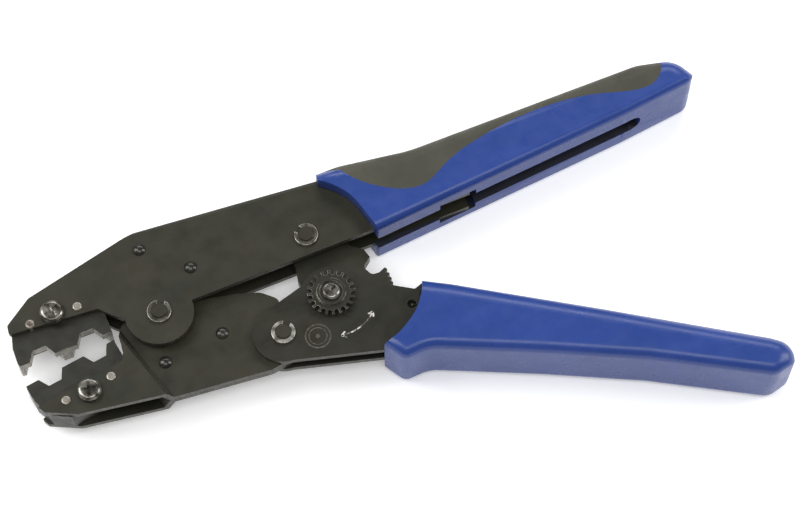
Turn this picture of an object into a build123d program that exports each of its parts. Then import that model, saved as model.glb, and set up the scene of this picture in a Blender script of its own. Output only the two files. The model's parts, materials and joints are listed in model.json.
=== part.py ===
"""Ratchet crimping tool: sheet-steel frame, toggle linkage, ratchet and two moulded grips.

Millimetres. The tool lies flat: +Z is the normal of its plates, +X runs from the jaws to the grips
along the parting line of the dies, +Y towards the back of the fixed frame. Everything is laid out
about the jaw pivot at mid thickness, and moved to the middle of the tool's base at the end.
The tool is modelled fully open; the jaw pieces are laid out closed and then swung open.
"""
from build123d import *
import math
import os

# sheet-metal stack, from the middle plane outwards
SHEET = 2.0
GAP = 0.1
JAW_TOP = SHEET
HANDLE_BOTTOM = JAW_TOP + GAP
HANDLE_TOP = HANDLE_BOTTOM + SHEET
FRAME_BOTTOM = HANDLE_TOP + 0.15
FRAME_TOP = FRAME_BOTTOM + SHEET
DIE_HALF = FRAME_BOTTOM - 0.05
GRIP_HALF = 11.65
OVER = 1.0  # how far a cutting shape runs past what it cuts

# pivots of the linkage in the open tool
JAW_PIVOT = (0.0, 0.0)
HANDLE_PIVOT = (33.3, -20.6)
LINK_PIVOT = (51.9, 6.8)
TOGGLE = (51.85, -14.45)
PAWL_PIVOT = (79.0, -25.3)
SPRING_HOLE = (74.0, -27.0)
PAWL_TILT = 25.0
JAW_STROKE = 8.0

# pins, rings and rivets
PIN_R = 2.6
FIT = 0.04
PIN_PROUD = 1.5
PIN_CHAMFER = 0.35
GROOVE_DEPTH = 0.5
RING_R = 3.8
RING_THICK = 0.8
RING_MOUTH = 2.2
WASHER_R = 5.4
RIVET_R = 1.2
RIVET_HEAD_R = 2.15
RIVET_HEAD = 1.1
SEAT = 0.02
SCREW_R = 2.0
SCREW_HEAD_R = 3.85
SCREW_HEAD = 2.3
PAN_ROUND = 0.62  # share of a screw head's height
RECESS_LENGTH = 1.15  # shares of a screw head's radius
RECESS_WIDTH = 0.27
RECESS_FLOOR = 0.35  # share of a screw head's height
RECESS_TURN = 20.0
DOWEL_R = 1.5
DOWEL_ROUND = 0.5
SHORT_CHAMFER = 0.25

# dies
CAVITY_X = (-38.5, -23.0)
CAVITY_SIDE = 4.2
REAR_CAVITY_SIDE = 6.5
DIE_STEP = 0.9
DIE_LAND = 0.25
DIE_TOP = 16.5
DOWEL_Y = 11.5
DIE_SCREW = (-30.9, 12.4)

# linkage plates
LOBE_R = 9.7
FRAME_LOBE_R = 10.8
HUB_R = 10.0
LINK_EYE_CLEARANCE = 0.6
ECCENTRIC_R = 3.0
ECCENTRIC_OFFSET = 0.3
JOURNAL_R = 4.2
SECTOR_R = 20.0
TOOTH_DEPTH = 1.1
TOOTH_PITCH = 4.8
TEETH = 5
TEETH_START = -14.6

# adjuster wheel
WHEEL_R = 7.6
WHEEL_NOTCHES = 20
WHEEL_NOTCH_R = 0.65
NOTCH_CENTRE_R = 6.7
WHEEL_BOTTOM = HANDLE_TOP + 0.06
WHEEL_THICK = 2.2
WHEEL_RELIEF = 0.9
WHEEL_BOSS_R = 4.6
WHEEL_BORE_R = 1.3


def polar(centre, radius, degrees):
    """Point at a radius and an angle about a centre."""
    a = math.radians(degrees)
    return (centre[0] + radius * math.cos(a), centre[1] + radius * math.sin(a))


def outline(corners):
    """Flat face from corners (x, y) or (x, y, rounding radius)."""
    shape = Polygon(*[c[:2] for c in corners], align=None)
    for corner in corners:
        if len(corner) == 3:
            vertex = shape.vertices().sort_by_distance((corner[0], corner[1], 0))[0]
            shape = fillet(vertex, corner[2])
    return shape


def disc(centre, radius):
    return Pos(centre[0], centre[1]) * Circle(radius)


def slab(shape, bottom, top):
    """Flat face made into a plate between two heights."""
    return extrude(Pos(0, 0, bottom) * shape, top - bottom, dir=(0, 0, 1))


def rod(centre, radius, bottom, top):
    return slab(disc(centre, radius), bottom, top)


def rear(shape):
    """The same piece on the other side of the middle plane."""
    return mirror(shape, about=Plane.XY)


def opened(shape):
    """A jaw piece, laid out closed, swung to the open tool."""
    return Rot(0, 0, JAW_STROKE) * shape


def jaw_side(shape):
    """A piece of the fixed side, turned over the parting line on to the open jaw."""
    return opened(mirror(shape, about=Plane.XZ))


def closed_point(point):
    """Where a point of the open jaw lies when the jaw is closed."""
    a = math.radians(-JAW_STROKE)
    x = point[0] * math.cos(a) - point[1] * math.sin(a)
    y = point[0] * math.sin(a) + point[1] * math.cos(a)
    return (x, y)


def domed_rivet(centre, half_grip):
    """Rivet through a stack, with a low dome on each side."""
    sphere_r = (RIVET_HEAD_R**2 + RIVET_HEAD**2) / (2 * RIVET_HEAD)
    dome = Pos(centre[0], centre[1], half_grip + RIVET_HEAD - sphere_r) * Sphere(sphere_r)
    dome = dome & rod(centre, RIVET_HEAD_R + OVER, half_grip, half_grip + RIVET_HEAD + OVER)
    return rod(centre, RIVET_R, -half_grip, half_grip) + dome + rear(dome)


def pivot_pin(centre, half_grip):
    """Pin with a chamfered end and a ring groove on each side."""
    end = half_grip + PIN_PROUD
    pin = rod(centre, PIN_R, -end, end)
    pin = chamfer(pin.edges().filter_by(GeomType.CIRCLE), PIN_CHAMFER)
    groove = rod(centre, PIN_R + OVER, half_grip + FIT, half_grip + 2 * FIT + RING_THICK)
    groove = groove - rod(centre, PIN_R - GROOVE_DEPTH, half_grip, half_grip + RING_THICK + OVER)
    return pin - groove - rear(groove)


def snap_ring(centre, half_grip, gap_angle):
    """Open retaining ring that sits in a pin's groove."""
    ring = disc(centre, RING_R) - disc(centre, PIN_R - GROOVE_DEPTH + 0.05)
    mouth = Rectangle(RING_R * 2, RING_MOUTH, align=(Align.MIN, Align.CENTER))
    ring = ring - Pos(centre[0], centre[1]) * Rot(0, 0, gap_angle) * mouth
    return slab(ring, half_grip + 1.5 * FIT, half_grip + 0.5 * FIT + RING_THICK)


def spacer_washers(centre):
    """Two washers that centre a mid-layer piece between the frame cheeks."""
    washer = disc(centre, WASHER_R) - disc(centre, PIN_R + FIT)
    front = slab(washer, JAW_TOP + 0.05, FRAME_BOTTOM - 0.05)
    return front + rear(front)


def cross_screw(centre, head_r, head, shank_r, seat, end):
    """Cross-recess pan-head screw from its seat down to its end."""
    pan = rod(centre, head_r, seat, seat + head)
    pan = fillet(pan.edges().sort_by(Axis.Z)[-1], head * PAN_ROUND)
    length = head_r * RECESS_LENGTH
    width = head_r * RECESS_WIDTH
    cross = Rectangle(length, width) + Rectangle(width, length)
    cross = Pos(centre[0], centre[1]) * Rot(0, 0, RECESS_TURN) * cross
    recess = slab(cross, seat + head * RECESS_FLOOR, seat + head + OVER)
    return pan - recess + rod(centre, shank_r, end, seat)


# ---- fixed half ----------------------------------------------------------------------------

FRAME_RIVETS = ((1.5, 22.4), (14.3, 10.5))
SPRING_ANCHOR = (20.0, 17.5)
SPRING_HOOK = (53.3, 16.2)
FRAME_TOP_EDGE = ((3.0, 29.0), (62.5, 23.7), (80.0, 19.4), (160.0, 18.6))
FOLD_R = 1.5


def frame_cheek():
    """Outline of one frame cheek, from the nose to the end of the tang."""
    nose = [(-45.7, 10.6, 0.8), (-45.2, 13.7, 1.0), (-36.2, 20.0, 1.0), (-2.7, 27.9)]
    tang = [(160.0, 12.0, 2.0), (112.0, 10.5), (105.6, 7.0), (105.6, 0.8), (0.0, -0.2)]
    throat = [(-10.4, 1.5), (-14.2, 4.8, 2.0), (-17.2, 8.4, 1.5)]
    cheek = outline(nose + list(FRAME_TOP_EDGE) + tang + throat)
    return cheek + disc(JAW_PIVOT, FRAME_LOBE_R)


def frame_web():
    """Strip that joins the cheeks along the back edge."""
    lower = [(x, y - SHEET) for x, y in reversed(FRAME_TOP_EDGE)]
    return outline(list(FRAME_TOP_EDGE) + lower)


def stationary_frame():
    cheek = slab(frame_cheek(), FRAME_BOTTOM, FRAME_TOP)
    frame = cheek + rear(cheek) + slab(frame_web(), -FRAME_TOP, FRAME_TOP)
    folds = []
    for a, b in zip(FRAME_TOP_EDGE, FRAME_TOP_EDGE[1:]):
        middle = ((a[0] + b[0]) / 2, (a[1] + b[1]) / 2)
        for side in (-FRAME_TOP, FRAME_TOP):
            folds.append(frame.edges().sort_by_distance((middle[0], middle[1], side))[0])
    frame = fillet(folds, FOLD_R)
    cuts = [(JAW_PIVOT, PIN_R), (LINK_PIVOT, PIN_R), (DIE_SCREW, SCREW_R)]
    cuts += [(centre, RIVET_R) for centre in FRAME_RIVETS]
    cuts += [((x, DOWEL_Y), DOWEL_R) for x in CAVITY_X]
    for centre, radius in cuts:
        frame = frame - rod(centre, radius + FIT, -FRAME_TOP - OVER, FRAME_TOP + OVER)
    return frame


def frame_filler():
    """Block between the cheeks that backs the upper die and carries the rivets."""
    left = [(-15.4, 13.0, 1.0), (-15.4, 22.0), (3.2, 26.1)]
    right = [(18.0, 24.9), (21.0, 10.0, 3.0), (8.0, 8.0)]
    block = outline(left + right)
    block = block - disc(JAW_PIVOT, HUB_R + 1.5)
    for centre in FRAME_RIVETS:
        block = block - disc(centre, RIVET_R + FIT)
    block = block - disc(SPRING_ANCHOR, DOWEL_R + 2.5)
    return slab(block, -FRAME_BOTTOM + 0.05, FRAME_BOTTOM - 0.05)


def frame_rivets():
    first, second = FRAME_RIVETS
    return domed_rivet(first, FRAME_TOP + SEAT) + domed_rivet(second, FRAME_TOP + SEAT)


def hexagons(side):
    """The two crimp hexagons, centred on the parting line."""
    first, second = CAVITY_X
    return Pos(first, 0) * RegularPolygon(side, 6) + Pos(second, 0) * RegularPolygon(side, 6)


def die(nose, heel):
    """Die block with small half-hexagons in its front layer and large ones behind."""
    corners = list(nose) + [(heel, DIE_LAND), (heel, DIE_TOP), (-39.5, DIE_TOP)]
    block = outline(corners)
    front = slab(block - hexagons(CAVITY_SIDE), DIE_STEP, DIE_HALF)
    back = slab(block - hexagons(REAR_CAVITY_SIDE), -DIE_HALF, DIE_STEP)
    body = front + back
    for centre, radius in [(DIE_SCREW, SCREW_R)] + [((x, DOWEL_Y), DOWEL_R) for x in CAVITY_X]:
        body = body - rod(centre, radius + FIT, -DIE_HALF - OVER, DIE_HALF + OVER)
    return body


def upper_die():
    return die([(-44.6, 12.5), (-46.2, 6.5), (-46.3, 1.4), (-46.0, DIE_LAND)], -15.7)


def lower_die():
    block = die([(-44.6, 12.5), (-46.8, 6.5), (-47.0, 1.4), (-46.8, DIE_LAND)], -16.4)
    return jaw_side(block)


def die_screw():
    return cross_screw(DIE_SCREW, SCREW_HEAD_R, SCREW_HEAD, SCREW_R, FRAME_TOP, -FRAME_TOP)


def die_dowels():
    dowels = None
    for x in CAVITY_X:
        dowel = rod((x, DOWEL_Y), DOWEL_R, -FRAME_TOP - 0.4, FRAME_TOP + 0.5)
        dowel = fillet(dowel.edges().filter_by(GeomType.CIRCLE), DOWEL_ROUND)
        dowels = dowel if dowels is None else dowels + dowel
    return dowels


GRIP_ROUND = 2.4
GRIP_CROWN = 6.0
MOVING_GRIP_ROUND = 3.4
SLEEVE_HALF = FRAME_TOP + 0.1
SLOT_HALF = 3.6
SLOT_END = 168.5
WINDOW = (95.0, 107.9)
BACK_MARGIN = 1.0
FIXED_GRIP_BACK = [(70.0, 25.0, 20.0), (93.0, 21.5, 40.0), (173.0, 21.6, 14.0), (185.6, 18.6, 9.0)]
FIXED_GRIP_END = (190.4, 8.6, 4.5)
FIXED_GRIP_PALM = [(162.0, 5.3, 30.0), (52.0, -3.7)]
FIXED_GRIP_FRONT = [(73.2, -2.4), (72.2, 1.5), (71.2, 6.2), (69.4, 12.0), (66.8, 16.2), (64.4, 18.8)]
FIXED_GRIP_FRONT += [(61.6, 21.2)]
INSERT_FRONT = [(69.5, 22.0), (73.5, 16.0), (80.0, 10.6), (87.0, 7.2), (93.0, 6.8), (98.5, 9.3)]
INSERT_REAR = [(104.0, 12.0), (113.0, 14.6), (128.0, 17.0), (142.0, 17.2), (156.0, 15.0)]
INSERT_END = [(166.0, 12.0), (172.5, 11.2), (180.0, 17.0)]


def rounded_slab(shape, half, rounding):
    """Thick plate with both rims rounded over."""
    solid = slab(shape, -half, half)
    rims = solid.faces().filter_by(Axis.Z).edges()
    return fillet(rims, rounding)


def ahead_of(curve, corners):
    """Everything in front of a grip's open end, which follows a smooth curve."""
    edge = Spline(*curve)
    rest = Polyline(curve[-1], *corners, curve[0])
    return slab(make_face(edge + rest), -GRIP_HALF - OVER, GRIP_HALF + OVER)


def fixed_grip_body():
    """Sleeve with a close rounding at the palm and a crowned back."""
    side = [(52.0, 26.0)]
    side += [(x + BACK_MARGIN, y + BACK_MARGIN, r) for x, y, r in FIXED_GRIP_BACK]
    side += [FIXED_GRIP_END] + FIXED_GRIP_PALM
    crown = [(40.0, 25.0, 7.0)] + FIXED_GRIP_BACK
    crown += [FIXED_GRIP_END[:2], (200.0, -30.0, 7.0), (40.0, -30.0, 7.0)]
    body = rounded_slab(outline(side), GRIP_HALF, GRIP_ROUND)
    body = body & rounded_slab(outline(crown), GRIP_HALF, GRIP_CROWN)
    around = [(62.6, 26.0), (62.6, 40.0), (20.0, 40.0), (20.0, -30.0), (74.0, -30.0)]
    return body - ahead_of(FIXED_GRIP_FRONT, around)


def fixed_grip_hollow():
    """Room for the frame's tang, the slot along the palm and the window where the sheet ends."""
    low = [(40.0, 0.05), (WINDOW[1], 0.7), (WINDOW[1], 7.5), (112.0, 10.2), (161.0, 11.8)]
    high = [(161.0, 18.8), (80.0, 19.6), (62.5, 23.9), (40.0, 26.0)]
    sleeve = slab(outline(low + high), -SLEEVE_HALF, SLEEVE_HALF)
    window = outline([(WINDOW[0], -30.0), (WINDOW[1], -30.0), (WINDOW[1], 5.0), (WINDOW[0], 5.0)])
    window = slab(window, -SLEEVE_HALF, SLEEVE_HALF)
    straight = SLOT_END - SLOT_HALF
    mouth = [(40.0, -30.0), (40.0, 2.0), (WINDOW[1], 2.0), (WINDOW[1], 15.0)]
    slot = outline(mouth + [(straight, 15.0), (straight, -30.0)])
    slot = slab(slot, -SLOT_HALF, SLOT_HALF)
    slot_end = Pos(straight, 0, 0) * Rot(90, 0, 0) * Cylinder(SLOT_HALF, 30)
    return sleeve + window + slot + slot_end


def insert_region():
    """Side outline of the soft insert, past the back of the grip."""
    curve = INSERT_FRONT + INSERT_REAR + INSERT_END
    edge = Spline(*curve)
    rest = Polyline(curve[-1], (182.0, 40.0), (60.0, 40.0), (60.0, 26.0), curve[0])
    return slab(make_face(edge + rest), -GRIP_HALF - OVER, GRIP_HALF + OVER)


def stationary_grip():
    return fixed_grip_body() - fixed_grip_hollow() - insert_region()


def stationary_grip_insert():
    return (fixed_grip_body() - fixed_grip_hollow()) & insert_region()


SPRING_R = 2.6
SPRING_WIRE = 0.7
SPRING_DISH_R = 8.5
HOOK_PLAY = 0.8


def return_spring():
    """Closed-wound tension spring with a loop at each end."""
    ax, ay = SPRING_ANCHOR
    bx, by = SPRING_HOOK
    length = math.hypot(bx - ax, by - ay)
    angle = math.degrees(math.atan2(by - ay, bx - ax))
    coil_start = 6.0
    coil_end = length - 9.5
    tube = Circle(SPRING_R) - Circle(SPRING_R - 2 * SPRING_WIRE)
    coil = Pos(coil_start, 0, 0) * Rot(0, 90, 0) * extrude(tube, coil_end - coil_start)
    anchor_loop = Circle(DOWEL_R + 0.35 + SPRING_WIRE * 1.4) - Circle(DOWEL_R + 0.35)
    hook_loop = SlotCenterToCenter(4.0, 2 * (DOWEL_R + HOOK_PLAY + SPRING_WIRE * 1.4))
    hook_loop = hook_loop - SlotCenterToCenter(4.0, 2 * (DOWEL_R + HOOK_PLAY))
    wire = SPRING_WIRE / 2
    loops = slab(anchor_loop, -wire, wire) + slab(Pos(length + 1.5, 0) * hook_loop, -wire, wire)
    arms = slab(Pos(4.3, 0) * Rectangle(4.0, SPRING_WIRE), -wire, wire)
    arms = arms + slab(Pos(length - 6.2, 0) * Rectangle(6.8, SPRING_WIRE), -wire, wire)
    ends = Pos(coil_start, 0, 0) * Rot(0, 90, 0) * extrude(Circle(SPRING_R), SPRING_WIRE)
    ends = ends + Pos(coil_end - SPRING_WIRE, 0, 0) * Rot(0, 90, 0) * extrude(Circle(SPRING_R), SPRING_WIRE)
    return Pos(ax, ay, 0) * Rot(0, 0, angle) * (coil + ends + loops + arms)


# ---- moving jaw ----------------------------------------------------------------------------

JOGGLE_TOP = (-14.6, 0.0)
JOGGLE_BOTTOM = (-11.2, -23.7)
JOGGLE_OUTER = -0.2
JOGGLE_INNER = 0.7
JOGGLE_RUN = 2.1
FAR = 80.0
JAW_RIVETS = ((-5.9, -14.2), (14.0, -14.6))
JAW_HEEL = closed_point(HANDLE_PIVOT)


def jaw_outline():
    """Outline of one jaw plate in the closed tool, nose and rear part together."""
    nose = [(-47.0, -8.9, 0.6), (-46.0, -11.5, 1.0), (-37.5, -17.3, 3.0)]
    nose = nose + [(-13.4, -24.6, 4.0), (-10.0, -25.5, 4.0)]
    bottom = [(21.3, -33.2, 3.0), (34.0, -33.4, 3.0)]
    top = [(34.5, -13.0, 3.0), (31.0, -8.6, 5.0), (24.4, -5.2, 12.0), (13.5, -1.2)]
    hub = [(0.0, 4.0), (-8.0, 6.0), (-13.0, 2.6, 1.0)]
    hub = hub + [(-14.8, -1.0, 1.0), (-15.6, -5.5, 2.0), (-17.6, -8.6, 1.5)]
    return outline(nose + bottom + top + hub) + disc(JAW_PIVOT, HUB_R)


def jaw_plate():
    """Jaw plate pressed outwards at the nose to make room for the die."""
    nx = JOGGLE_BOTTOM[0] - JOGGLE_TOP[0]
    ny = JOGGLE_BOTTOM[1] - JOGGLE_TOP[1]
    turn = math.degrees(math.atan2(ny, nx)) + 90
    top_end = JOGGLE_OUTER + JOGGLE_RUN
    under_end = JOGGLE_INNER - JOGGLE_RUN
    top = [(-FAR, FRAME_TOP), (JOGGLE_OUTER, FRAME_TOP), (top_end, JAW_TOP), (FAR, JAW_TOP)]
    under = [(FAR, 0.0), (JOGGLE_INNER, 0.0), (under_end, FRAME_BOTTOM), (-FAR, FRAME_BOTTOM)]
    profile = Plane.XZ * Polygon(*(top + under), align=None)
    sheet = extrude(profile, FAR, both=True)
    sheet = Pos(JOGGLE_TOP[0], JOGGLE_TOP[1], 0) * Rot(0, 0, turn) * sheet
    plate = sheet & slab(jaw_outline(), -OVER, FRAME_TOP + OVER)
    cuts = [(JAW_PIVOT, PIN_R), (JAW_HEEL, PIN_R), ((DIE_SCREW[0], -DIE_SCREW[1]), SCREW_R)]
    cuts += [(centre, RIVET_R) for centre in JAW_RIVETS]
    cuts += [((x, -DOWEL_Y), DOWEL_R) for x in CAVITY_X]
    for centre, radius in cuts:
        plate = plate - rod(centre, radius + FIT, -OVER, FRAME_TOP + OVER)
    return opened(plate)


def jaw_rivets():
    first, second = JAW_RIVETS
    return opened(domed_rivet(first, JAW_TOP + SEAT) + domed_rivet(second, JAW_TOP + SEAT))


# ---- moving handle -------------------------------------------------------------------------

HANDLE_RIVETS = ((96.0, -42.6), (150.0, -75.6))
SPACER_R = 2.5
GROOVE_HALF = 2.6
MOVING_GRIP_BACK = [(87.1, -26.5, 60.0), (126.7, -52.1)]
MOVING_GRIP_FRONT = [(60.0, -38.3), (64.3, -37.6), (69.1, -35.1), (73.1, -32.2), (76.0, -28.8)]
MOVING_GRIP_FRONT += [(78.4, -24.6), (79.6, -21.0)]
DETENT_ANGLE = 119.0
DETENT_R = 0.62
DETENT_HEAD = 0.75
PAWL_REACH = 10.0
PAWL_HALF = 1.35


def handle_plate():
    """One handle plate: two lobes, a body between them and a tang in the grip."""
    bottom = [(28.9, -29.2), (60.0, -38.0), (75.0, -42.5), (90.0, -45.4), (153.0, -80.5, 2.0)]
    top = [(156.0, -75.5, 2.0), (98.0, -36.6), (84.0, -25.9), (79.6, -21.6, 0.6), (76.8, -22.6, 1.0)]
    body = [(66.0, -15.6, 4.0), (54.0, -6.5), (44.5, -8.0), (30.0, -12.0)]
    plate = outline(bottom + top + body) + disc(HANDLE_PIVOT, LOBE_R) + disc(TOGGLE, LOBE_R)
    plate = plate - disc(SPRING_HOLE, DOWEL_R)
    cuts = [(HANDLE_PIVOT, PIN_R), (TOGGLE, JOURNAL_R), (PAWL_PIVOT, DOWEL_R)]
    cuts += [(centre, RIVET_R) for centre in HANDLE_RIVETS]
    for centre, radius in cuts:
        plate = plate - disc(centre, radius + FIT)
    return slab(plate, HANDLE_BOTTOM, HANDLE_TOP)


def handle_rivets():
    """Rivets and their spacer tubes between the two tangs."""
    rivets = None
    half = HANDLE_BOTTOM - SEAT
    for centre in HANDLE_RIVETS:
        rivet = rod(centre, RIVET_R, -HANDLE_TOP, HANDLE_TOP)
        rivet = rivet + rod(centre, SPACER_R, -half, half)
        rivets = rivet if rivets is None else rivets + rivet
    return rivets


def moving_grip_body():
    """Sleeve outline with a flared guard at the front and a crowned back."""
    side = [(56.5, -32.3, 4.0), (68.0, -15.6, 4.0)] + MOVING_GRIP_BACK
    side = side + [(171.2, -81.5, 8.0), (178.4, -87.4, 4.2), (174.0, -92.3, 4.2), (167.0, -94.0, 5.0)]
    side = side + [(133.3, -74.2), (104.2, -59.6), (87.1, -51.6, 30.0)]
    side = side + [(72.5, -44.8, 12.0), (64.0, -45.3, 3.5)]
    crown = [(50.0, -10.0, 7.0), (68.0, -15.6, 20.0)] + MOVING_GRIP_BACK
    crown = crown + [(171.2, -81.5, 10.0), (178.6, -87.6, 6.5), (156.4, -112.0, 7.0), (40.0, -112.0, 7.0)]
    body = rounded_slab(outline(side), GRIP_HALF, MOVING_GRIP_ROUND)
    body = body & rounded_slab(outline(crown), GRIP_HALF, GRIP_CROWN)
    return body - ahead_of(MOVING_GRIP_FRONT, [(80.0, -5.0), (40.0, -5.0), (40.0, -38.3)])


def moving_grip():
    """Sleeve with room for the two tangs and a groove along its inner side."""
    low = [(40.0, -36.0), (60.0, -38.3), (75.0, -42.8), (90.0, -45.8), (153.2, -81.0)]
    high = [(156.8, -75.4), (98.2, -36.3), (84.2, -25.7), (79.4, -10.0), (40.0, -10.0)]
    pocket = slab(outline(low + high), -HANDLE_TOP - GAP, HANDLE_TOP + GAP)
    groove = outline([(92.0, -40.0), (148.0, -76.0), (156.0, -60.0), (100.0, -20.0)])
    return moving_grip_body() - pocket - slab(groove, -GROOVE_HALF, GROOVE_HALF)


def pawl_pin():
    pin = rod(PAWL_PIVOT, DOWEL_R, -HANDLE_TOP, HANDLE_TOP)
    return chamfer(pin.edges().filter_by(GeomType.CIRCLE), SHORT_CHAMFER)


def pawl_spring():
    """Wire spring round the pawl pin, its free end hooked into the spring hole."""
    low = PAWL_HALF + 0.07
    high = HANDLE_BOTTOM - 0.12
    ring = disc(PAWL_PIVOT, DOWEL_R + 1.0) - disc(PAWL_PIVOT, DOWEL_R + 0.3)
    dx = SPRING_HOLE[0] - PAWL_PIVOT[0]
    dy = SPRING_HOLE[1] - PAWL_PIVOT[1]
    length = math.hypot(dx, dy)
    leg = Rectangle(length - DOWEL_R - 0.5, high - low, align=(Align.MIN, Align.CENTER))
    leg = Pos(*PAWL_PIVOT) * Rot(0, 0, math.degrees(math.atan2(dy, dx))) * Pos(DOWEL_R + 0.5, 0) * leg
    return slab(ring + leg, low, high) + rod(SPRING_HOLE, 0.35, low, HANDLE_TOP - 0.3)


def wheel_detent():
    """Small domed peg under the wheel's rim that its notches click over."""
    peg = rod(polar(TOGGLE, NOTCH_CENTRE_R, DETENT_ANGLE), DETENT_R, HANDLE_TOP, HANDLE_TOP + DETENT_HEAD)
    return fillet(peg.edges().sort_by(Axis.Z)[-1], 0.3)


def ratchet_pawl():
    """Two-way pawl, tilted clear of the teeth as after the first click."""
    corners = [(-4.6, -1.0), (-2.0, -2.2), (2.0, -2.2), (PAWL_REACH - 2.2, -1.5), (PAWL_REACH, -0.45)]
    corners = corners + [(x, -y) for x, y in reversed(corners)]
    shape = outline(corners) + Circle(3.0) - Circle(DOWEL_R + FIT)
    dx = TOGGLE[0] - PAWL_PIVOT[0]
    dy = TOGGLE[1] - PAWL_PIVOT[1]
    angle = math.degrees(math.atan2(dy, dx)) + PAWL_TILT
    return slab(Pos(*PAWL_PIVOT) * Rot(0, 0, angle) * shape, -PAWL_HALF, PAWL_HALF)


# ---- toggle link ---------------------------------------------------------------------------

LINK_RIVETS = ((57.0, 3.2),)


def link_outline():
    """Link from the frame pivot to the toggle, with the toothed sector and its notch."""
    root_r = SECTOR_R - TOOTH_DEPTH
    points = []
    for tooth in range(TEETH):
        start = TEETH_START + tooth * TOOTH_PITCH
        points.append(polar(TOGGLE, root_r, start))
        points.append(polar(TOGGLE, SECTOR_R, start + 0.35 * TOOTH_PITCH))
        points.append(polar(TOGGLE, SECTOR_R, start + 0.65 * TOOTH_PITCH))
    relief = [polar(TOGGLE, 17.7, angle) for angle in (-44, -34, -24, -17)]
    notch = [polar(TOGGLE, 19.6, 9.4), (69.0, -12.2, 0.4), (66.6, -12.0, 1.6), (65.0, -8.6, 1.6)]
    crown = [(68.3, -6.0), (67.5, -2.9), (64.2, -0.3, 1.0), (58.0, 8.0, 3.0)]
    tail = [(57.5, 17.0, 2.5), (50.3, 19.3, 2.5), (45.5, 8.0)]
    side = [(45.2, -1.3), (44.3, -5.0, 1.0), (45.0, -12.0)]
    foot = [(45.5, -18.0), (51.0, -22.5, 3.0)]
    return outline(foot + relief + points + notch + crown + tail + side)


def link_plate():
    plate = link_outline() + disc(LINK_PIVOT, 8.0) + disc(TOGGLE, 7.8)
    eye_r = ECCENTRIC_R + LINK_EYE_CLEARANCE - FIT
    cuts = [(LINK_PIVOT, PIN_R), (TOGGLE, eye_r), (SPRING_HOOK, DOWEL_R)]
    cuts += [(centre, RIVET_R) for centre in LINK_RIVETS]
    for centre, radius in cuts:
        plate = plate - disc(centre, radius + FIT)
    dish = slab(disc(SPRING_HOOK, SPRING_DISH_R), -OVER, SPRING_WIRE / 2 + GAP)
    return slab(plate, 0.0, JAW_TOP) - dish


def link_rivet():
    rivet = rod(LINK_RIVETS[0], RIVET_R, -JAW_TOP, JAW_TOP)
    return chamfer(rivet.edges().filter_by(GeomType.CIRCLE), SHORT_CHAMFER)


# ---- adjuster ------------------------------------------------------------------------------

DRIVE_SLOT = (1.2, 0.6)
RELIEF_R = 5.7
BOSS_HEIGHT = 0.7
BOSS_WALL = 1.0
LOCK_HEAD_R = 2.9
LOCK_HEAD = 1.6


def eccentric_pin():
    """Pin whose middle is set off from the journals that turn in the handle plates."""
    middle = (TOGGLE[0], TOGGLE[1] + ECCENTRIC_OFFSET)
    pin = rod(middle, ECCENTRIC_R, -HANDLE_BOTTOM, HANDLE_BOTTOM)
    front = rod(TOGGLE, JOURNAL_R, HANDLE_BOTTOM, HANDLE_TOP + 0.03)
    back = rod(TOGGLE, JOURNAL_R, -HANDLE_TOP - 0.4, -HANDLE_BOTTOM)
    bore = rod(TOGGLE, WHEEL_BORE_R, 0, HANDLE_TOP + OVER)
    across = Pos(*TOGGLE) * Rectangle(2 * (JOURNAL_R + OVER), DRIVE_SLOT[0])
    slot = slab(across, -HANDLE_TOP - OVER, -HANDLE_TOP + DRIVE_SLOT[1])
    return pin + front + back - bore - slot


def adjuster_wheel():
    """Notched wheel with a raised boss, its rim relieved underneath for the detent."""
    top = WHEEL_BOTTOM + WHEEL_THICK
    wheel = disc(TOGGLE, WHEEL_R)
    notch = Circle(WHEEL_NOTCH_R) + Pos(1.0, 0) * Rectangle(2.0, 2 * WHEEL_NOTCH_R)
    for index in range(WHEEL_NOTCHES):
        angle = index * 360 / WHEEL_NOTCHES + DETENT_ANGLE
        wheel = wheel - Pos(*polar(TOGGLE, NOTCH_CENTRE_R, angle)) * Rot(0, 0, angle) * notch
    body = slab(wheel, WHEEL_BOTTOM, top)
    relief = disc(TOGGLE, WHEEL_R + OVER) - disc(TOGGLE, RELIEF_R)
    body = body - slab(relief, WHEEL_BOTTOM - OVER, WHEEL_BOTTOM + WHEEL_RELIEF)
    boss = rod(TOGGLE, WHEEL_BOSS_R, top, top + BOSS_HEIGHT)
    well = rod(TOGGLE, WHEEL_BOSS_R - BOSS_WALL, top, top + OVER)
    return body + boss - well - rod(TOGGLE, WHEEL_BORE_R, WHEEL_BOTTOM - OVER, top + OVER)


def adjuster_screw():
    seat = WHEEL_BOTTOM + WHEEL_THICK
    return cross_screw(TOGGLE, LOCK_HEAD_R, LOCK_HEAD, WHEEL_BORE_R - FIT, seat, 0.5)


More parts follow.
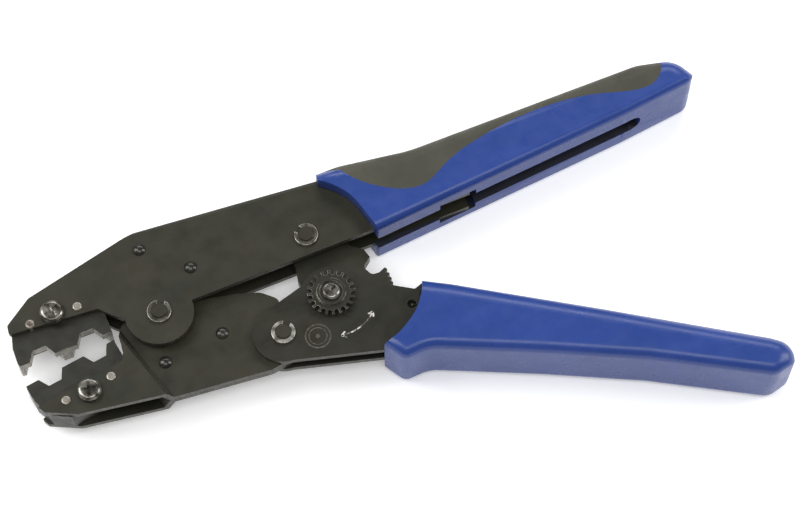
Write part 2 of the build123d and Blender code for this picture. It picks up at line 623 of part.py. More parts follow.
def pieces():
    """Every node, by name, about the jaw pivot."""
    jaw = jaw_plate()
    handle = handle_plate()
    link = link_plate()
    handle_ring = snap_ring(HANDLE_PIVOT, HANDLE_TOP, 50)
    link_ring = snap_ring(LINK_PIVOT, FRAME_TOP, 125)
    jaw_ring = snap_ring(JAW_PIVOT, FRAME_TOP, 60)
    return {
        "stationary_frame": stationary_frame(),
        "frame_filler": frame_filler(),
        "frame_rivets": frame_rivets(),
        "upper_die": upper_die(),
        "upper_die_screw": die_screw(),
        "upper_die_dowels": die_dowels(),
        "stationary_grip": stationary_grip(),
        "stationary_grip_insert": stationary_grip_insert(),
        "jaw_pivot_pin": pivot_pin(JAW_PIVOT, FRAME_TOP),
        "jaw_pivot_rings": jaw_ring + rear(jaw_ring),
        "jaw_pivot_washers": spacer_washers(JAW_PIVOT),
        "link_pivot_pin": pivot_pin(LINK_PIVOT, FRAME_TOP),
        "link_pivot_rings": link_ring + rear(link_ring),
        "link_pivot_washers": spacer_washers(LINK_PIVOT),
        "spring_anchor_pin": rod(SPRING_ANCHOR, DOWEL_R, -FRAME_BOTTOM, FRAME_BOTTOM),
        "return_spring": return_spring(),
        "jaw_plate_front": jaw,
        "jaw_plate_rear": rear(jaw),
        "jaw_rivets": jaw_rivets(),
        "lower_die": lower_die(),
        "lower_die_screw": jaw_side(die_screw()),
        "lower_die_dowels": jaw_side(die_dowels()),
        "handle_pivot_pin": pivot_pin(HANDLE_PIVOT, HANDLE_TOP),
        "handle_pivot_rings": handle_ring + rear(handle_ring),
        "handle_plate_front": handle,
        "handle_plate_rear": rear(handle),
        "handle_rivets": handle_rivets(),
        "moving_grip": moving_grip(),
        "pawl_pin": pawl_pin(),
        "pawl_spring": pawl_spring(),
        "wheel_detent": wheel_detent(),
        "ratchet_pawl": ratchet_pawl(),
        "link_plate_front": link,
        "link_plate_rear": rear(link),
        "link_rivet": link_rivet(),
        "spring_hook_pin": rod(SPRING_HOOK, DOWEL_R, -JAW_TOP - 1.5, JAW_TOP + 1.5),
        "eccentric_pin": eccentric_pin(),
        "adjuster_wheel": adjuster_wheel(),
        "adjuster_screw": adjuster_screw(),
    }


def base_shift(parts):
    """Move from the jaw pivot to the middle of the tool's base."""
    boxes = [shape.bounding_box() for shape in parts.values()]
    x = [min(box.min.X for box in boxes), max(box.max.X for box in boxes)]
    y = [min(box.min.Y for box in boxes), max(box.max.Y for box in boxes)]
    return (-sum(x) / 2, -sum(y) / 2, -min(box.min.Z for box in boxes))


PARTS = pieces()
SHIFT = base_shift(PARTS)

os.makedirs("parts", exist_ok=True)
for name, shape in PARTS.items():
    export_step(Pos(*SHIFT) * shape, f"parts/{name}.step")
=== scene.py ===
import json
import math

import bpy
from mathutils import Matrix, Vector


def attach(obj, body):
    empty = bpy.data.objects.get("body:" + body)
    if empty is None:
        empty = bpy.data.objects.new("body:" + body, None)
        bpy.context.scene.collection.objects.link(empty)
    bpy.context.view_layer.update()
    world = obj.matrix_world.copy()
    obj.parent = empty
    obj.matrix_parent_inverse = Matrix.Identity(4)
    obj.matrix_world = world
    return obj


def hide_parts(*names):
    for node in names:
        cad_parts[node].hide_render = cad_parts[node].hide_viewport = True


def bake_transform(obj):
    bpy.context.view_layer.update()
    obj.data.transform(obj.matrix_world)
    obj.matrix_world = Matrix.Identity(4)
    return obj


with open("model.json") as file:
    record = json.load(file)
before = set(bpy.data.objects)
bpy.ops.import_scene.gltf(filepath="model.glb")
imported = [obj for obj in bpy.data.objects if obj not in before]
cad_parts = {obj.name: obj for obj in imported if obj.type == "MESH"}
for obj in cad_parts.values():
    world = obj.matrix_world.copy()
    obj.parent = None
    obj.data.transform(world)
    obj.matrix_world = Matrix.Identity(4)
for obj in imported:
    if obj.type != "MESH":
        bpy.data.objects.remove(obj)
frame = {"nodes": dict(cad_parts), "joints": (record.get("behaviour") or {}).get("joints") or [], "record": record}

MM = 0.001
nodes = frame["nodes"]
joints = {joint["name"]: joint for joint in frame["joints"]}
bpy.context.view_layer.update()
PIVOT = Vector(joints["jaw_pivot"]["pos_m"])
WHEEL_CENTRE = Vector(joints["adjuster_turn"]["pos_m"])


def at(x, y, z=0.0):
    """Point given in millimetres from the jaw pivot, at the tool's middle plane."""
    return PIVOT + Vector((x, y, z)) * MM


def local(point):
    """Millimetres from the jaw pivot of a point in metres."""
    return (point - PIVOT) / MM


# ---- camera and light, in metres and watts ------------------------------------------------------

CAMERA_TURN = math.radians(-22.7)
CAMERA_ELEVATION = math.radians(65.5)
CAMERA_DISTANCE = 0.761
CAMERA_LENS = 107.5     # millimetres
CAMERA_NEAR = 0.01
CAMERA_TARGET = at(77.6, -10.2)

# name: offset from the middle of the tool, width and height, power
SOFTBOXES = {
    "left_softbox": ((-0.75, 0.1, 0.75), (0.5, 0.8), 6.2),
    "right_softbox": ((0.85, 0.15, 0.55), (0.45, 0.8), 5.2),
    "back_softbox": ((0.0, 0.95, 0.75), (1.2, 0.4), 5.6),
    "top_softbox": ((0.0, -0.35, 1.1), (0.9, 0.5), 4.6),
}
WORLD_LIGHT = 0.17
FLOOR_HALF = 3.0
FLOOR_GLOW = 0.28

# ---- the tool's own measures, in millimetres from the jaw pivot ---------------------------------

# regions with a look of their own
CAVITY_REACH = 4.6      # bare crimping faces end this far from the dies' parting line
JAW_OPEN = math.radians(8.0)
WEB_START = 2.5         # the frame's folded web lies beyond this x and this y
WEB_LOW = 17.0
# the sleeves' and the slot's inner walls chosen by these get painted shade
SLEEVE_HALF = 6.6       # walls inside a grip lie within this of the middle plane
SLOT_HALF = 3.7         # so do the walls of the slot along the fixed grip's palm
SLOT_END = 170.0        # the sleeve and its slot end before this x
SLOT_LOW = 9.0          # the slot's inner end walls lie beyond this y

# return spring, from the frame's anchor pin to the link's hook pin
SPRING_ANCHOR = Vector((20.0, 17.5, 0.0))
SPRING_HOOK = Vector((53.3, 16.2, 0.0))
SPRING_WIRE_R = 0.34
COIL_R = 2.2
COIL_START = 6.0        # from the anchor to the coil
COIL_TAIL = 9.5         # from the coil to the hook
COIL_TURNS = 23
COIL_POINTS = 16        # in each turn
ANCHOR_LOOP_R = 2.3
ANCHOR_LEAD = ((3.4, 0.0, 0.0), (4.6, 0.2, 0.0))    # wire from the loop to the coil, from the anchor
COIL_LEAD = ((1.2, 0.5, 0.0), (2.4, 0.0, 0.0))      # wire that leaves the coil, from the coil's end
HOOK_LEAD = -3.4        # where it meets the long loop, from the hook
HOOK_LOOP_R = 2.6
HOOK_LOOP_NEAR = -0.5   # centres of the long loop's two ends, from the hook
HOOK_LOOP_FAR = 3.5

# pawl spring, round the pawl's pin and into a hole of the handle plate
PAWL_PIVOT = Vector((79.0, -25.3, 0.0))
PAWL_HOLE = Vector((74.0, -27.0, 0.0))
PAWL_WIRE_R = 0.27
PAWL_COIL_R = 2.1
PAWL_COIL_Z = 1.7
PAWL_COIL_BACK = 260    # degrees of the coil before and after the hole's direction
PAWL_COIL_PAST = 80
PAWL_COIL_STEPS = 30
PAWL_LEG = ((0.6, 0.5, 1.7), (0.0, 0.0, 1.8), (0.0, 0.0, 2.4), (0.0, 0.0, 3.7))

# marks struck in the handle plate
HANDLE_FACE = 4.1
MARK_LIFT = 0.015
STAMP_CENTRE = (42.8, -25.8)
STAMP_RINGS = ((3.9, 0.45), (2.808, 0.3), (0.35, 0.7))      # radius and line width
CIRCLE_STEPS = 48
ARROW_R = 14.2          # round the wheel's centre
ARROW_ANGLES = (-99, -46)
ARROW_STEPS = 20
ARROW_LINE = 0.45
BARB_LINE = 0.55
BARB_SPREAD = 1.0
BARB_BACK = 6           # degrees

# rounded edges, in metres, and the seams between the CAD's faces
EDGE_WIDTH = {
    "grip_plastic": 0.0004,
    "grip_insert": 0.0003,
    "die_steel": 0.00012,
    "bright_steel": 0.00022,
}
EDGE_DEFAULT = 0.00016
EDGE_ANGLE = math.radians(38)
EDGE_SEGMENTS = 2
SEAM = 0.000002
FLAT = 0.6              # z of the normal from which a polygon lies in the tool's plane

# places in each node's list of materials
FACE_SLOT = 0
SIDE_SLOT = 1
EDGE_SLOT = 2

# pieces cut from sheet, whose sides show the shear
SHEETS = (
    "stationary_frame",
    "jaw_plate_front",
    "jaw_plate_rear",
    "handle_plate_front",
    "handle_plate_rear",
    "link_plate_front",
    "link_plate_rear",
    "frame_filler",
    "ratchet_pawl",
)

# plates darker than the rest, and how much
DARK_SHEETS = ("handle_plate_front", "handle_plate_rear", "link_plate_front", "link_plate_rear")
DARK_TONE = 0.72


# ---- camera, light and floor --------------------------------------------------------------------


def add_object(name, data):
    """New object in the scene."""
    thing = bpy.data.objects.new(name, data)
    bpy.context.scene.collection.objects.link(thing)
    return thing


def add_piece(name, vertices, faces, material):
    """New mesh object with one material."""
    mesh = bpy.data.meshes.new(name)
    mesh.from_pydata(vertices, [], faces)
    mesh.materials.append(material)
    return add_object(name, mesh)


def make_camera():
    """Looks down on the tool, from the side of its moving handle and a little from its nose."""
    forward = Vector((0, math.cos(CAMERA_ELEVATION), -math.sin(CAMERA_ELEVATION)))
    forward.rotate(Matrix.Rotation(CAMERA_TURN, 3, "Z"))
    data = bpy.data.cameras.new("camera")
    data.lens = CAMERA_LENS
    data.clip_start = CAMERA_NEAR
    camera = add_object("camera", data)
    camera.location = CAMERA_TARGET - forward * CAMERA_DISTANCE
    camera.rotation_euler = forward.to_track_quat("-Z", "Y").to_euler()
    bpy.context.scene.camera = camera


def area_light(name, offset, size, power):
    """Soft rectangular light aimed at the middle of the tool; its offset turns with the camera."""
    data = bpy.data.lights.new(name, "AREA")
    data.shape = "RECTANGLE"
    data.size, data.size_y = size
    data.energy = power
    lamp = add_object(name, data)
    offset = Vector(offset)
    offset.rotate(Matrix.Rotation(CAMERA_TURN, 3, "Z"))
    lamp.location = CAMERA_TARGET + offset
    lamp.rotation_euler = (-offset).to_track_quat("-Z", "Y").to_euler()


def make_world():
    """Even white surroundings, and colours shown without a film curve."""
    world = bpy.data.worlds.new("world")
    world.use_nodes = True
    background = world.node_tree.nodes["Background"]
    background.inputs["Color"].default_value = WHITE
    background.inputs["Strength"].default_value = WORLD_LIGHT
    bpy.context.scene.world = world
    bpy.context.scene.view_settings.view_transform = "Standard"


def make_floor():
    """White sheet that the tool lies on."""
    signs = ((-1, -1), (1, -1), (1, 1), (-1, 1))
    corners = [(x * FLOOR_HALF, y * FLOOR_HALF, 0) for x, y in signs]
    floor = add_piece("floor", corners, [(0, 1, 2, 3)], floor_material())


# ---- materials: noise scales are features per metre, colours are linear -------------------------

# sockets of the Mix node when it mixes colours
MIX_FACTOR = 0
MIX_FIRST = 6
MIX_SECOND = 7
MIX_RESULT = 2

# levels that the noise mostly stays between, and how rough its finer layers are
NOISE_LOW = 0.3
NOISE_HIGH = 0.7
NOISE_ROUGHNESS = 0.55

WHITE = (1, 1, 1, 1)
PLASTIC_IOR = 1.45


class Graph:
    """Node tree of one material, with short calls for the nodes used here."""

    def __init__(self, name):
        self.material = bpy.data.materials.new(name)
        self.material.use_nodes = True
        self.tree = self.material.node_tree
        self.shader = self.tree.nodes["Principled BSDF"]
        self.place = self.tree.nodes.new("ShaderNodeTexCoord").outputs["Object"]

    def link(self, output, socket):
        self.tree.links.new(output, socket)

    def stretched(self, turn, scale):
        """Coordinates turned about z and scaled along each axis."""
        mapping = self.tree.nodes.new("ShaderNodeMapping")
        mapping.inputs["Rotation"].default_value = (0, 0, turn)
        mapping.inputs["Scale"].default_value = scale
        self.link(self.place, mapping.inputs["Vector"])
        return mapping.outputs["Vector"]

    def noise(self, scale, detail, stretch=None):
        """Noise with features of about 1/scale metres, stretched by (turn, scale) if asked."""
        node = self.tree.nodes.new("ShaderNodeTexNoise")
        node.inputs["Scale"].default_value = scale
        node.inputs["Detail"].default_value = detail
        node.inputs["Roughness"].default_value = NOISE_ROUGHNESS
        place = self.stretched(*stretch) if stretch else self.place
        self.link(place, node.inputs["Vector"])
        return node.outputs["Fac"]

    def ranged(self, value, low, high, to_low=0.0, to_high=1.0):
        """Value between low and high, spread over to_low and to_high."""
        node = self.tree.nodes.new("ShaderNodeMapRange")
        node.inputs["From Min"].default_value = low
        node.inputs["From Max"].default_value = high
        node.inputs["To Min"].default_value = to_low
        node.inputs["To Max"].default_value = to_high
        self.link(value, node.inputs["Value"])
        return node.outputs["Result"]

    def patches(self, scale, detail, low, high, most=1.0, stretch=None):
        """Soft patches where noise rises from low to high, up to an amount."""
        return self.ranged(self.noise(scale, detail, stretch), low, high, 0.0, most)

    def gloss(self, scale, detail, lowest, highest):
        """Roughness that wanders between two values."""
        return self.ranged(self.noise(scale, detail), NOISE_LOW, NOISE_HIGH, lowest, highest)

    def mixed(self, amount, first, second):
        """Colour between two colours, each a tuple or an output."""
        node = self.tree.nodes.new("ShaderNodeMix")
        node.data_type = "RGBA"
        self.link(amount, node.inputs[MIX_FACTOR])
        for value, index in ((first, MIX_FIRST), (second, MIX_SECOND)):
            socket = node.inputs[index]
            if isinstance(value, tuple):
                socket.default_value = (*value, 1)
            else:
                self.link(value, socket)
        return node.outputs[MIX_RESULT]

    def bump(self, height, depth, strength, below=None):
        """Relief of a depth in metres, on top of another relief if given."""
        node = self.tree.nodes.new("ShaderNodeBump")
        node.inputs["Strength"].default_value = strength
        node.inputs["Distance"].default_value = depth
        self.link(height, node.inputs["Height"])
        if below:
            self.link(below, node.inputs["Normal"])
        return node.outputs["Normal"]

    def grain(self, scale, detail, depth, strength, below=None):
        """Relief of plain noise."""
        return self.bump(self.noise(scale, detail), depth, strength, below)

    def done(self, colour, roughness, normal, **constants):
        self.link(colour, self.shader.inputs["Base Color"])
        self.link(roughness, self.shader.inputs["Roughness"])
        self.link(normal, self.shader.inputs["Normal"])
        for name, value in constants.items():
            self.shader.inputs[name.replace("_", " ")].default_value = value
        return self.material


def mottled(name, patches, tones, gloss, grain, **constants):
    """Two tones in soft patches, with an uneven gloss and a fine grain.

    patches: noise scale and detail, and the levels where the second tone starts and is full.
    gloss: noise scale and detail, lowest and highest roughness.
    grain: noise scale and detail, depth in metres, strength.
    """
    g = Graph(name)
    colour = g.mixed(g.patches(*patches), *tones)
    return g.done(colour, g.gloss(*gloss), g.grain(*grain), **constants)


def blackened_steel(name, tone):
    """Oxidised sheet: olive-black with brown blotches, faint rubbing marks and a fine grain."""
    g = Graph(name)
    dark = tuple(c * tone for c in (0.0185, 0.0185, 0.0112))
    warm = tuple(c * tone for c in (0.031, 0.0285, 0.0165))
    pale = tuple(c * tone for c in (0.050, 0.048, 0.036))
    blotches = g.mixed(g.patches(70, 4, 0.35, 0.7), dark, warm)
    rubbed = g.patches(55, 6, 0.62, 0.80, most=0.35, stretch=(0.4, (1, 9, 3)))
    specks = g.patches(2600, 2, 0.66, 0.76, most=0.6)
    colour = g.mixed(specks, g.mixed(rubbed, blotches, pale), pale)
    grain = g.grain(3200, 3, 0.00002, 0.55)
    swell = g.grain(180, 2, 0.00012, 0.25, below=grain)
    return g.done(colour, g.gloss(160, 4, 0.36, 0.54), swell, Specular_IOR_Level=0.35)


def sheared_edge():
    """Cut side of the sheet: greyer than its faces, with fine shear lines across it."""
    g = Graph("sheared_edge")
    lines = g.noise(420, 3, stretch=(0.0, (6, 6, 0.6)))
    colour = g.mixed(g.ranged(lines, 0.4, 0.66), (0.030, 0.029, 0.021), (0.078, 0.075, 0.060))
    return g.done(colour, g.gloss(500, 3, 0.32, 0.5), g.bump(lines, 0.00003, 0.3), Metallic=0.3)


def worn_edge():
    """Edges where the black finish has rubbed through in places to grey steel."""
    return mottled(
        "worn_edge",
        patches=(260, 5, 0.42, 0.60),
        tones=((0.042, 0.040, 0.031), (0.23, 0.225, 0.19)),
        gloss=(900, 2, 0.28, 0.45),
        grain=(2500, 2, 0.00001, 0.5),
        Metallic=0.6,
    )


def black_oxide():
    """Oiled black fittings: glossy, with a slightly uneven surface."""
    g = Graph("black_oxide_fittings")
    colour = g.mixed(g.patches(350, 4, 0.4, 0.65), (0.014, 0.014, 0.011), (0.034, 0.032, 0.025))
    rough = g.ranged(g.noise(500, 3), 0.35, NOISE_HIGH, 0.16, 0.24)
    return g.done(colour, rough, g.grain(250, 2, 0.00002, 0.1), Metallic=0.1)


def bright_steel():
    """Spring steel, warm grey, with drawn streaks and a few dark flecks."""
    g = Graph("bright_steel")
    tone = g.mixed(g.patches(240, 4, 0.35, 0.65), (0.19, 0.178, 0.152), (0.34, 0.32, 0.28))
    colour = g.mixed(g.patches(1500, 3, 0.58, 0.72, most=0.7), tone, (0.07, 0.065, 0.055))
    streaks = g.noise(2800, 2, stretch=(0.6, (1, 7, 1)))
    return g.done(colour, g.gloss(700, 3, 0.26, 0.42), g.bump(streaks, 0.00002, 0.5), Metallic=0.85)


def ring_steel():
    """Retaining rings: dark spring steel, slightly polished."""
    return mottled(
        "ring_steel",
        patches=(320, 4, 0.4, 0.65),
        tones=((0.05, 0.048, 0.037), (0.19, 0.18, 0.145)),
        gloss=(700, 3, 0.2, 0.34),
        grain=(1500, 2, 0.00001, 0.3),
        Metallic=0.4,
    )


def polished_edge():
    """Bright rim of rings and pins."""
    return mottled(
        "polished_edge",
        patches=(420, 3, 0.4, 0.6),
        tones=((0.16, 0.155, 0.13), (0.60, 0.58, 0.52)),
        gloss=(900, 2, 0.18, 0.32),
        grain=(2000, 2, 0.00001, 0.3),
        Metallic=0.5,
    )


def polished_pin():
    """Ends of the locating pins: bright ground steel with a few brown stains."""
    g = Graph("polished_pin")
    colour = g.mixed(g.patches(420, 3, 0.5, 0.66, most=0.8), (0.40, 0.37, 0.32), (0.12, 0.08, 0.055))
    return g.done(colour, g.gloss(900, 2, 0.22, 0.36), g.grain(1200, 2, 0.00001, 0.3), Metallic=0.6)


def dark_zinc():
    """Plated screws: dark grey with lighter, polished high spots."""
    return mottled(
        "dark_zinc",
        patches=(300, 3, 0.42, 0.66),
        tones=((0.07, 0.068, 0.056), (0.38, 0.365, 0.325)),
        gloss=(800, 3, 0.14, 0.28),
        grain=(700, 2, 0.00001, 0.25),
        Metallic=0.7,
    )


def die_face():
    """Ground and blackened die steel, with straight grinding lines."""
    g = Graph("die_steel")
    lines = g.noise(500, 4, stretch=(0.15, (0.25, 9, 1)))
    colour = g.mixed(g.ranged(lines, 0.35, 0.7), (0.017, 0.0165, 0.012), (0.033, 0.032, 0.024))
    return g.done(colour, g.gloss(300, 3, 0.34, 0.5), g.bump(lines, 0.00003, 0.5), Metallic=0.3)


def bare_die():
    """Uncoated crimping faces: grey steel with machining lines and stains."""
    g = Graph("bare_die")
    lines = g.noise(900, 3, stretch=(0.0, (1, 1, 8)))
    colour = g.mixed(g.patches(350, 4, 0.45, 0.7, most=0.75), (0.38, 0.365, 0.32), (0.13, 0.122, 0.095))
    rough = g.ranged(lines, NOISE_LOW, NOISE_HIGH, 0.28, 0.45)
    return g.done(colour, rough, g.bump(lines, 0.00003, 0.5), Metallic=0.6)


def grip_plastic():
    """Moulded blue plastic: satin gloss, slight flow marks, fine pebble and hairline scuffs."""
    g = Graph("grip_plastic")
    flow = g.patches(38, 3, 0.35, 0.7, stretch=(-0.3, (1, 3, 1)))
    scuffs = g.patches(120, 3, 0.66, 0.80, most=0.12, stretch=(0.7, (0.5, 5, 2)))
    body = g.mixed(flow, (0.020, 0.052, 0.235), (0.026, 0.060, 0.265))
    colour = g.mixed(scuffs, body, (0.06, 0.10, 0.33))
    pebble = g.grain(600, 1, 0.00002, 0.15)
    swell = g.grain(60, 2, 0.0003, 0.12, below=pebble)
    return g.done(colour, g.gloss(220, 4, 0.24, 0.36), swell, IOR=PLASTIC_IOR)


def grip_insert():
    """Soft grey-olive overmould: matt, with a fine leather-like grain and rubbed patches."""
    g = Graph("grip_insert")
    cells = g.tree.nodes.new("ShaderNodeTexVoronoi")
    cells.inputs["Scale"].default_value = 1500
    g.link(g.place, cells.inputs["Vector"])
    cell = cells.outputs["Distance"]
    tone = g.mixed(g.patches(60, 4, 0.4, 0.7), (0.046, 0.045, 0.031), (0.066, 0.063, 0.045))
    colour = g.mixed(g.ranged(cell, 0.0, 0.3, 0.5, 0.0), tone, (0.034, 0.033, 0.024))
    leather = g.bump(cell, 0.00006, 0.5)
    grain = g.grain(700, 3, 0.00005, 0.3, below=leather)
    return g.done(colour, g.gloss(300, 3, 0.5, 0.68), grain, IOR=PLASTIC_IOR)


def painted_sleeve_shade():
    """Painted shade for the inner walls of the sleeves: near-black blue, with coarse moulding texture."""
    return mottled(
        "painted_sleeve_shade",
        patches=(120, 4, 0.35, 0.7),
        tones=((0.0035, 0.005, 0.014), (0.007, 0.009, 0.024)),
        gloss=(500, 3, 0.55, 0.75),
        grain=(900, 2, 0.00005, 0.4),
    )


def stamped_mark():
    """Lightly struck mark where grey steel shows through the black finish."""
    return mottled(
        "stamped_mark",
        patches=(900, 3, 0.4, 0.62),
        tones=((0.045, 0.042, 0.031), (0.11, 0.102, 0.08)),
        gloss=(1200, 2, 0.3, 0.5),
        grain=(2600, 2, 0.00001, 0.4),
        Metallic=0.1,
    )


def struck_with_glints():
    """Deeply struck mark, with bright patches that are partly metal rubbed bare and partly painted glints."""
    return mottled(
        "struck_with_glints",
        patches=(520, 2, 0.44, 0.56),
        tones=((0.07, 0.068, 0.055), (0.72, 0.70, 0.62)),
        gloss=(1200, 2, 0.3, 0.5),
        grain=(2600, 2, 0.00001, 0.4),
        Metallic=0.1,
    )


def floor_material():
    """Matt white paper with a faint glow, which keeps the shadows light."""
    g = Graph("floor")
    colour = g.mixed(g.noise(3, 2), (0.93, 0.93, 0.93), (0.95, 0.95, 0.95))
    g.shader.inputs["Emission Color"].default_value = WHITE
    rough = g.gloss(8, 2, 0.85, 0.95)
    return g.done(colour, rough, g.grain(400, 2, 0.0001, 0.1), Emission_Strength=FLOOR_GLOW)


def make_materials():
    """Every material of the tool, each made once."""
    return {
        "sheet": blackened_steel("blackened_steel", 1.0),
        "dark_sheet": blackened_steel("dark_steel", DARK_TONE),
        "sheared": sheared_edge(),
        "worn": worn_edge(),
        "fittings": black_oxide(),
        "spring": bright_steel(),
        "ring": ring_steel(),
        "rim": polished_edge(),
        "pin_end": polished_pin(),
        "zinc": dark_zinc(),
        "die_face": die_face(),
        "bare_die": bare_die(),
        "plastic": grip_plastic(),
        "soft": grip_insert(),
        # painted shade for the grips' inner walls
        "sleeve_shade": painted_sleeve_shade(),
        "stamp": stamped_mark(),
        # bright patches partly painted glints
        "struck": struck_with_glints(),
    }


# ---- finish of the pieces that keep their CAD shape ---------------------------------------------

# material slot: look of its faces, sides and edges
SLOT_LOOKS = {
    "blackened_steel": ("sheet", "sheet", "worn"),
    "black_oxide_fittings": ("fittings", "fittings", "fittings"),
    "bright_steel": ("ring", "rim", "rim"),
    "screws": ("zinc", "zinc", "zinc"),
    "die_steel": ("die_face", "bare_die", "worn"),
    "grip_plastic": ("plastic", "plastic", "plastic"),
    "grip_insert": ("soft", "soft", "soft"),
}


def look_of(name, slot):
    """Names of the looks of one node's faces, sides and edges."""
    face, side, edge = SLOT_LOOKS[slot]
    if name == "adjuster_wheel":
        return "dark_sheet", "zinc", "worn"
    if name.endswith("dowels"):
        return "pin_end", "pin_end", "pin_end"
    if name in SHEETS:
        side = "sheared"
    if name in DARK_SHEETS:
        face = "dark_sheet"
    if name.endswith("pivot_pin"):
        face = "sheet"
    if name == "handle_pivot_rings":
        face = "rim"
    return face, side, edge


def is_flat(polygon):
    """Whether a polygon lies in the plane of the tool rather than across it."""
    return abs(polygon.normal.z) >= FLAT


def paint(node, materials):
    """Gives a node its face, side and edge materials."""
    mesh = node.data
    mesh.materials.clear()
    for material in materials:
        mesh.materials.append(material)
    for polygon in mesh.polygons:
        polygon.material_index = FACE_SLOT if is_flat(polygon) else SIDE_SLOT


def round_edges(node, width):
    """Joins the seams between the CAD's faces and rounds the edges narrowly."""
    weld = node.modifiers.new("seams", "WELD")
    weld.merge_threshold = SEAM
    bevel = node.modifiers.new("edges", "BEVEL")
    bevel.width = width
    bevel.segments = EDGE_SEGMENTS
    bevel.limit_method = "ANGLE"
    bevel.angle_limit = EDGE_ANGLE
    bevel.material = EDGE_SLOT
    bevel.use_clamp_overlap = True
    bevel.harden_normals = True


def repaint(name, material, chosen):
    """Gives another material to the polygons of a node that a rule chooses by place and lie."""
    mesh = nodes[name].data
    mesh.materials.append(material)
    last = len(mesh.materials) - 1
    for polygon in mesh.polygons:
        if chosen(local(polygon.center), is_flat(polygon)):
            polygon.material_index = last


def upper_die_back(place, flat):
    """Sides of the upper die away from its crimping faces."""
    return place.y > CAVITY_REACH and not flat


def lower_die_back(place, flat):
    """Sides of the lower die away from its crimping faces, which follow the open jaw."""
    below = place.x * math.sin(JAW_OPEN) - place.y * math.cos(JAW_OPEN)
    return below > CAVITY_REACH and not flat


def frame_web(place, flat):
    """Folded web along the frame's back, which is oxidised like its faces."""
    return place.x > WEB_START and place.y > WEB_LOW and not flat


def shaded_fixed_sleeve(place, flat):
    """Inner walls of the fixed grip and of the slot along its palm, which get painted shade."""
    wall = flat and abs(place.z) < SLEEVE_HALF
    slot = abs(place.z) < SLOT_HALF and place.y > SLOT_LOW
    return place.x < SLOT_END and (wall or slot)


def shaded_moving_sleeve(place, flat):
    """Inner walls of the moving grip, which get painted shade."""
    return flat and abs(place.z) < SLEEVE_HALF


def paint_nodes(materials):
    """Paints every CAD node, then the regions that look different from the rest of their node."""
    for sub in frame["record"]["subparts"]:
        name = sub["node"]
        slot = sub["material_slot"]
        paint(nodes[name], [materials[look] for look in look_of(name, slot)])
        round_edges(nodes[name], EDGE_WIDTH.get(slot, EDGE_DEFAULT))
    repaint("upper_die", materials["die_face"], upper_die_back)
    repaint("lower_die", materials["die_face"], lower_die_back)
    repaint("stationary_frame", materials["sheet"], frame_web)
    # painted shade inside the grips' sleeves and the fixed grip's slot
    repaint("stationary_grip", materials["sleeve_shade"], shaded_fixed_sleeve)
    repaint("moving_grip", materials["sleeve_shade"], shaded_moving_sleeve)


# ---- paths --------------------------------------------------------------------------------------


def arc(start, end, steps):
    """Angles in radians from one angle to another, in degrees, both included."""
    return [math.radians(start + (end - start) * step / steps) for step in range(steps + 1)]


def circle(centre, radius, start=0, end=360, steps=CIRCLE_STEPS):
    """Points along a circle or a part of it."""
    x, y = centre
    return [(x + radius * math.cos(a), y + radius * math.sin(a)) for a in arc(start, end, steps)]


def on_circle(centre, radius, angle):
    """One point of a circle, at an angle in degrees."""
    return circle(centre, radius, angle, angle, steps=1)[0]


def tangent(points, index):
    """Direction of a path at one of its points."""
    before = Vector(points[max(index - 1, 0)])
    after = Vector(points[min(index + 1, len(points) - 1)])
    return (after - before).normalized()


# ---- wires --------------------------------------------------------------------------------------

WIRE_SIDES = 10


def wire_skin(points, radius):
    """Corners of the rings round a wire, each ring twisted as little as possible from the last."""
    corners = []
    across = tangent(points, 0).orthogonal().normalized()
    for index, point in enumerate(points):
        along = tangent(points, index)
        across = (across - along * across.dot(along)).normalized()
        up = along.cross(across)
        for step in range(WIRE_SIDES):
            angle = 2 * math.pi * step / WIRE_SIDES
            corner = point + (across * math.cos(angle) + up * math.sin(angle)) * radius
            corners.append(tuple(corner))
    return corners


def wire_faces(rings):
    """Faces between the rings round a wire, and its two ends."""
    faces = []
    for ring in range(rings - 1):
        for step in range(WIRE_SIDES):
            a = ring * WIRE_SIDES + step
            b = ring * WIRE_SIDES + (step + 1) % WIRE_SIDES
            faces.append((a, b, b + WIRE_SIDES, a + WIRE_SIDES))
    faces.append(tuple(reversed(range(WIRE_SIDES))))
    faces.append(tuple((rings - 1) * WIRE_SIDES + step for step in range(WIRE_SIDES)))
    return faces


def wire(name, points, radius, material):
    """Round wire along a path of points, closed at both ends."""
    piece = add_piece(name, wire_skin(points, radius), wire_faces(len(points)), material)
    for polygon in piece.data.polygons:
        polygon.use_smooth = len(polygon.vertices) == 4
    return piece


def coil(start, end):
    """Close turns along x."""
    steps = COIL_TURNS * COIL_POINTS
    path = []
    for step in range(steps + 1):
        angle = 2 * math.pi * step / COIL_POINTS
        x = start + (end - start) * step / steps
        path.append((x, COIL_R * math.cos(angle), COIL_R * math.sin(angle)))
    return path


def flat_arc(x, radius, start, end, steps):
    """Arc round a point of the x axis, in the tool's plane."""
    return [(*point, 0.0) for point in circle((x, 0.0), radius, start, end, steps)]


def spring_path(reach, coil_end):
    """The return spring along x: the anchor's loop, the coil and the long loop at the hook."""
    near = reach + HOOK_LOOP_NEAR
    far = reach + HOOK_LOOP_FAR
    path = flat_arc(0.0, ANCHOR_LOOP_R, 25, 355, steps=20)
    path += ANCHOR_LEAD
    path += coil(COIL_START, coil_end)
    path += [(coil_end + x, y, z) for x, y, z in COIL_LEAD]
    path.append((reach + HOOK_LEAD, 0.0, 0.0))
    path += flat_arc(near, HOOK_LOOP_R, 190, 270, steps=6)
    path += flat_arc(far, HOOK_LOOP_R, -90, 90, steps=12)
    path += flat_arc(near, HOOK_LOOP_R, 90, 165, steps=6)
    return path


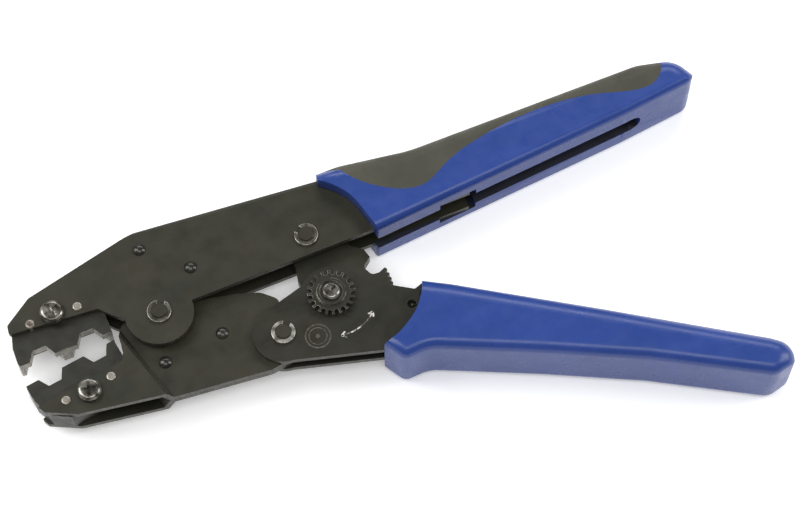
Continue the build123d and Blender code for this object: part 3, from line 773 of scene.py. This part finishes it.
def return_spring(material):
    """Close-wound coil with a round loop at the anchor and a long loop at the link's pin."""
    span = SPRING_HOOK - SPRING_ANCHOR
    coil_end = span.length - COIL_TAIL
    turn = Matrix.Rotation(math.atan2(span.y, span.x), 3, "Z")

    def placed(point):
        return at(*(SPRING_ANCHOR + turn @ Vector(point)))

    points = [placed(point) for point in spring_path(span.length, coil_end)]
    spring = wire("return_spring_coil", points, SPRING_WIRE_R * MM, material)
    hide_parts("return_spring")
    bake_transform(spring)


def pawl_spring(material):
    """Nearly a full turn of wire round the pawl's pin, with a bent leg in the plate's hole."""
    to_hole = PAWL_HOLE - PAWL_PIVOT
    heading = math.degrees(math.atan2(to_hole.y, to_hole.x))
    start = heading - PAWL_COIL_BACK
    end = heading + PAWL_COIL_PAST
    turn = circle(PAWL_PIVOT.xy, PAWL_COIL_R, start, end, PAWL_COIL_STEPS)
    path = [(x, y, PAWL_COIL_Z) for x, y in turn]
    path += [PAWL_HOLE + Vector(step) for step in PAWL_LEG]
    spring = wire("pawl_spring_wire", [at(*point) for point in path], PAWL_WIRE_R * MM, material)
    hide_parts("pawl_spring")
    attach(spring, "moving_handle")


# ---- struck marks -------------------------------------------------------------------------------


def line_corners(points, width):
    """Corners of a flat line on the handle plate, along points (x, y) in millimetres."""
    corners = []
    for index, point in enumerate(points):
        along = tangent(points, index)
        side = Vector((-along.y, along.x)) * width / 2
        for sign in (-1, 1):
            corner = Vector(point) + side * sign
            corners.append(tuple(at(corner.x, corner.y, HANDLE_FACE + MARK_LIFT)))
    return corners


def mark(name, lines, material):
    """One thin piece of several lines, each its points and width, that rides on the handle."""
    vertices = []
    faces = []
    for points, width in lines:
        first = len(vertices)
        for a in range(first, first + 2 * len(points) - 2, 2):
            faces.append((a, a + 2, a + 3, a + 1))
        vertices += line_corners(points, width)
    piece = add_piece(name, vertices, faces, material)
    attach(piece, "moving_handle")


def arrow_lines():
    """Arc beside the adjuster wheel, with two barbs at each end."""
    centre = tuple(local(WHEEL_CENTRE).xy)
    first, last = ARROW_ANGLES
    lines = [(circle(centre, ARROW_R, first, last, ARROW_STEPS), ARROW_LINE)]
    for angle, inward in ((first, BARB_BACK), (last, -BARB_BACK)):
        tip = on_circle(centre, ARROW_R, angle)
        for radius in (ARROW_R - BARB_SPREAD, ARROW_R + BARB_SPREAD):
            barb = on_circle(centre, radius, angle + inward)
            lines.append(([tip, barb], BARB_LINE))
    return lines


def handle_marks(stamp, struck):
    """A plain ring stamp with a dot, and a double-headed arrow."""
    rings = [(circle(STAMP_CENTRE, radius), width) for radius, width in STAMP_RINGS]
    mark("ring_stamp", rings, stamp)
    # the arrow's bright patches are partly painted glints
    mark("adjuster_arrow", arrow_lines(), struck)


# ---- scene --------------------------------------------------------------------------------------

make_camera()
for softbox, (softbox_offset, softbox_size, softbox_power) in SOFTBOXES.items():
    area_light(softbox, softbox_offset, softbox_size, softbox_power)
make_world()
make_floor()

looks = make_materials()
paint_nodes(looks)
return_spring(looks["spring"])
pawl_spring(looks["ring"])
handle_marks(looks["stamp"], looks["struck"])
